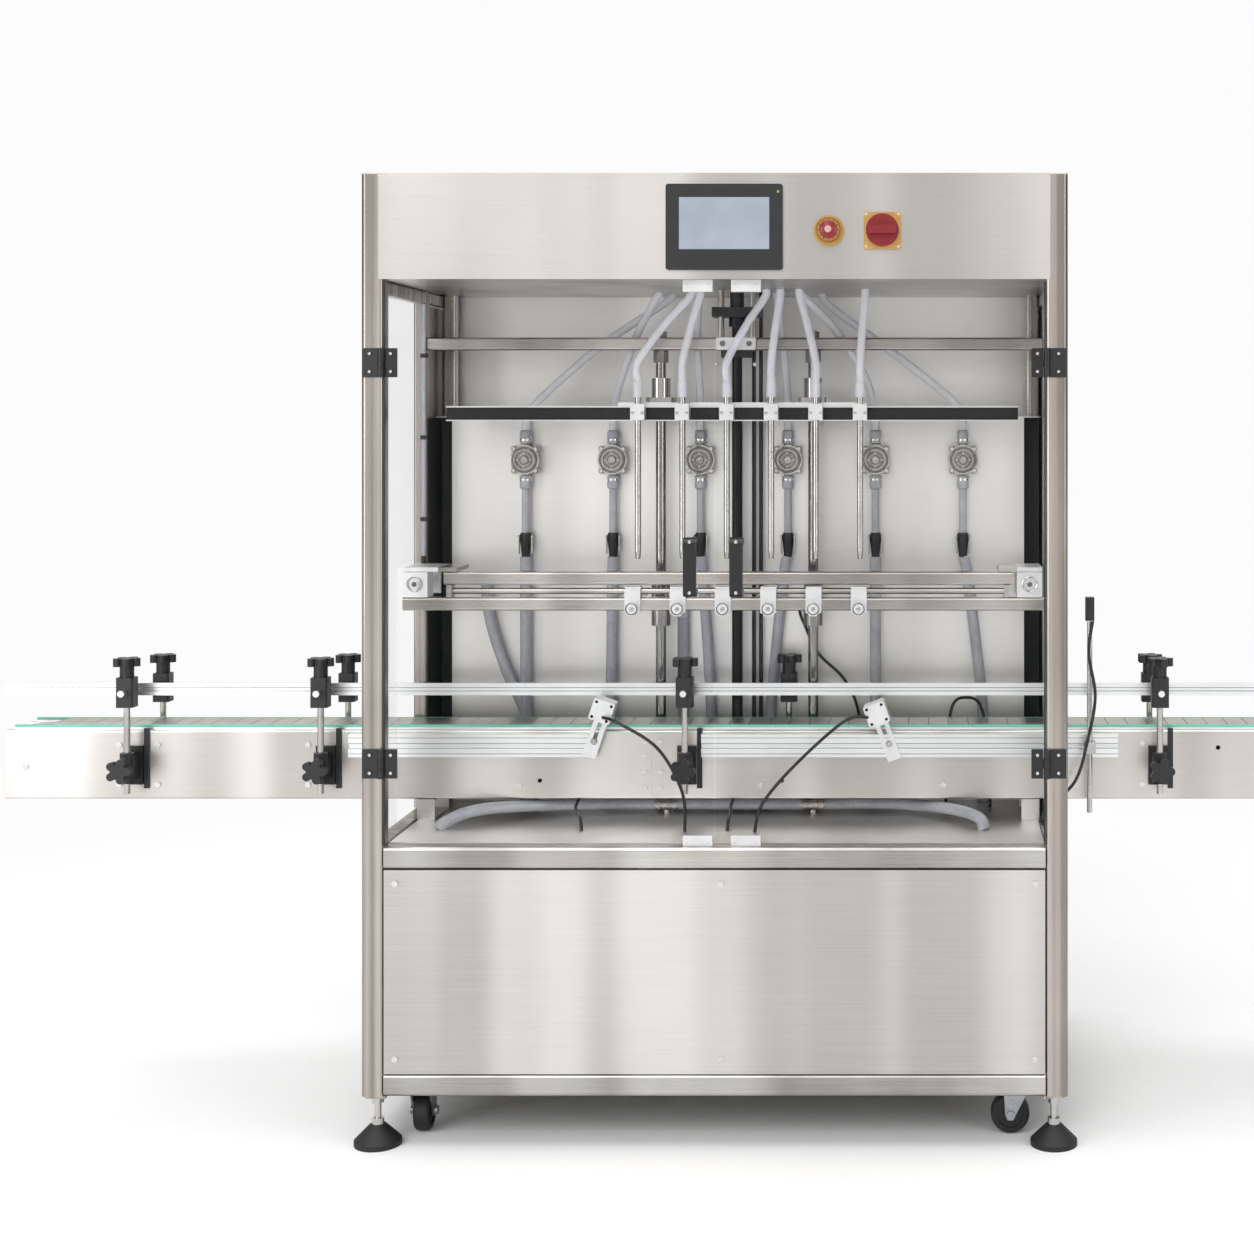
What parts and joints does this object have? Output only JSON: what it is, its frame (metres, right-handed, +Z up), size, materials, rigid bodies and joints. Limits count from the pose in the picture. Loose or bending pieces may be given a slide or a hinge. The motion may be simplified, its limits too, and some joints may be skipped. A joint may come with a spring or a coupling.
{
  "type": "liquid filling machine",
  "caption": "Stainless steel liquid filling machine with a row of nozzles, clear doors and a slat-chain conveyor running through it.",
  "frame": {"origin": "floor level under the centre of the cabinet", "axes": "+X along the conveyor to the operator's right, -Y towards the operator, +Z up"},
  "size_m": [2.76, 0.8665, 1.738],
  "materials": {
    "stainless": "brushed",
    "aluminium": "satin",
    "black_plastic": "matte",
    "clear_sheet": "gloss",
    "hose_clear": "gloss",
    "green_plastic": "satin",
    "yellow_plastic": "satin",
    "red_plastic": "gloss",
    "cast_grey": "painted",
    "rubber": "matte",
    "steel_dark": "satin",
    "screw_steel": "polished"
  },
  "bodies": {
    "machine": {"frame": "stainless", "header_box": "stainless", "cabinet_panels": "stainless", "pump_panel": "stainless", "work_deck": "stainless", "guide_rods": "stainless", "neck_beam": "stainless", "pump_heads": "stainless", "conveyor_bed": "stainless", "slat_chain": "stainless", "lift_crossbar": "stainless", "conveyor_profiles": "aluminium", "gate_cylinders": "aluminium", "hmi": "black_plastic", "door_hinges": "black_plastic", "pump_couplings": "black_plastic", "rail_brackets": "black_plastic", "photo_eye": "black_plastic", "cables": "black_plastic", "side_windows": "clear_sheet", "hoses": "hose_clear", "nozzle_hoses": "hose_clear", "wear_strips": "green_plastic", "control_plates": "yellow_plastic", "pump_motors": "cast_grey", "conveyor_gearmotor": "cast_grey", "lift_motor": "steel_dark", "screws": "screw_steel"},
    "left_door": {"door_left": "clear_sheet", "door_left_fittings": "black_plastic"},
    "right_door": {"door_right": "clear_sheet", "door_right_fittings": "black_plastic"},
    "nozzle_carriage": {"nozzle_beam": "steel_dark", "carriage_fittings": "aluminium", "nozzles": "stainless"},
    "lift_spindle": {"lift_screw": "steel_dark"},
    "neck_locator": {"neck_slide": "stainless", "neck_forks": "stainless"},
    "stop_button": {"estop_button": "red_plastic"},
    "main_switch": {"switch_knob": "red_plastic"},
    "front_posts": {"front_rail_posts": "black_plastic"},
    "front_guide": {"front_rail": "aluminium"},
    "rear_posts": {"rear_rail_posts": "black_plastic"},
    "rear_guide": {"rear_rail": "aluminium"},
    "left_gate": {"gate_rod_left": "stainless"},
    "right_gate": {"gate_rod_right": "stainless"},
    "drive_axle": {"drive_shaft": "stainless"},
    "idler_axle": {"idler_shaft": "stainless"},
    "levelling_foot_front_left": {"foot_front_left": "rubber"},
    "swivel_front_left": {"caster_fork_front_left": "cast_grey"},
    "wheel_front_left": {"caster_wheel_front_left": "rubber"},
    "levelling_foot_front_right": {"foot_front_right": "rubber"},
    "swivel_front_right": {"caster_fork_front_right": "cast_grey"},
    "wheel_front_right": {"caster_wheel_front_right": "rubber"},
    "levelling_foot_rear_left": {"foot_rear_left": "rubber"},
    "swivel_rear_left": {"caster_fork_rear_left": "cast_grey"},
    "wheel_rear_left": {"caster_wheel_rear_left": "rubber"},
    "levelling_foot_rear_right": {"foot_rear_right": "rubber"},
    "swivel_rear_right": {"caster_fork_rear_right": "cast_grey"},
    "wheel_rear_right": {"caster_wheel_rear_right": "rubber"}
  },
  "joints": [
    {"name": "left_door_hinge", "type": "hinge", "parent": "machine", "child": "left_door", "pos_m": [-0.592, -0.4065, 1.04], "axis": [0, 0, 1], "range_deg": [-110, 0]},
    {"name": "right_door_hinge", "type": "hinge", "parent": "machine", "child": "right_door", "pos_m": [0.592, -0.4065, 1.04], "axis": [0, 0, 1], "range_deg": [0, 110]},
    {"name": "nozzle_lift", "type": "slide", "parent": "machine", "child": "nozzle_carriage", "axis": [0, 0, 1], "range_m": [-0.15, 0], "deforming": ["nozzle_hoses"]},
    {"name": "lift_screw_turn", "type": "hinge", "parent": "machine", "child": "lift_spindle", "pos_m": [0.004, -0.034, 1], "axis": [0, 0, 1], "range_deg": [-20, 1100]},
    {"name": "neck_locator_slide", "type": "slide", "parent": "machine", "child": "neck_locator", "axis": [0, 1, 0], "range_m": [-0.04, 0]},
    {"name": "stop_button_press", "type": "slide", "parent": "machine", "child": "stop_button", "axis": [0, 1, 0], "range_m": [0, 0.006], "stiffness_N_per_m": 800},
    {"name": "main_switch_turn", "type": "hinge", "parent": "machine", "child": "main_switch", "pos_m": [0.2994, -0.42, 1.635], "axis": [0, 1, 0], "range_deg": [0, 90]},
    {"name": "front_rail_height", "type": "slide", "parent": "machine", "child": "front_posts", "axis": [0, 0, 1], "range_m": [0, 0.03]},
    {"name": "front_rail_reach", "type": "slide", "parent": "front_posts", "child": "front_guide", "axis": [0, 1, 0], "range_m": [-0.02, 0.03]},
    {"name": "rear_rail_height", "type": "slide", "parent": "machine", "child": "rear_posts", "axis": [0, 0, 1], "range_m": [0, 0.03]},
    {"name": "rear_rail_reach", "type": "slide", "parent": "rear_posts", "child": "rear_guide", "axis": [0, 1, 0], "range_m": [-0.03, 0.004]},
    {"name": "left_gate_stroke", "type": "slide", "parent": "machine", "child": "left_gate", "axis": [0, 1, 0], "range_m": [0, 0.04]},
    {"name": "right_gate_stroke", "type": "slide", "parent": "machine", "child": "right_gate", "axis": [0, 1, 0], "range_m": [0, 0.04]},
    {"name": "drive_turn", "type": "hinge", "parent": "machine", "child": "drive_axle", "pos_m": [1.2954, -0.109, 0.6513], "axis": [0, 1, 0], "continuous": true},
    {"name": "idler_turn", "type": "hinge", "parent": "machine", "child": "idler_axle", "pos_m": [-1.2954, -0.109, 0.6513], "axis": [0, 1, 0], "continuous": true},
    {"name": "foot_height_front_left", "type": "slide", "parent": "machine", "child": "levelling_foot_front_left", "axis": [0, 0, 1], "range_m": [-0.03, 0]},
    {"name": "caster_swivel_front_left", "type": "hinge", "parent": "machine", "child": "swivel_front_left", "pos_m": [-0.54, -0.317, 0.08], "axis": [0, 0, 1], "continuous": true},
    {"name": "caster_roll_front_left", "type": "hinge", "parent": "swivel_front_left", "child": "wheel_front_left", "pos_m": [-0.54, -0.307, 0.037], "axis": [1, 0, 0], "continuous": true},
    {"name": "foot_height_front_right", "type": "slide", "parent": "machine", "child": "levelling_foot_front_right", "axis": [0, 0, 1], "range_m": [-0.03, 0]},
    {"name": "caster_swivel_front_right", "type": "hinge", "parent": "machine", "child": "swivel_front_right", "pos_m": [0.54, -0.317, 0.08], "axis": [0, 0, 1], "continuous": true},
    {"name": "caster_roll_front_right", "type": "hinge", "parent": "swivel_front_right", "child": "wheel_front_right", "pos_m": [0.53, -0.317, 0.037], "axis": [0, 1, 0], "continuous": true},
    {"name": "foot_height_rear_left", "type": "slide", "parent": "machine", "child": "levelling_foot_rear_left", "axis": [0, 0, 1], "range_m": [-0.03, 0]},
    {"name": "caster_swivel_rear_left", "type": "hinge", "parent": "machine", "child": "swivel_rear_left", "pos_m": [-0.54, 0.317, 0.08], "axis": [0, 0, 1], "continuous": true},
    {"name": "caster_roll_rear_left", "type": "hinge", "parent": "swivel_rear_left", "child": "wheel_rear_left", "pos_m": [-0.54, 0.327, 0.037], "axis": [1, 0, 0], "continuous": true},
    {"name": "foot_height_rear_right", "type": "slide", "parent": "machine", "child": "levelling_foot_rear_right", "axis": [0, 0, 1], "range_m": [-0.03, 0]},
    {"name": "caster_swivel_rear_right", "type": "hinge", "parent": "machine", "child": "swivel_rear_right", "pos_m": [0.54, 0.317, 0.08], "axis": [0, 0, 1], "continuous": true},
    {"name": "caster_roll_rear_right", "type": "hinge", "parent": "swivel_rear_right", "child": "wheel_rear_right", "pos_m": [0.53, 0.317, 0.037], "axis": [0, 1, 0], "continuous": true}
  ],
  "couplings": [
    {"joint": "lift_screw_turn", "follows": "nozzle_lift", "rad_per_m": -125.66}
  ]
}
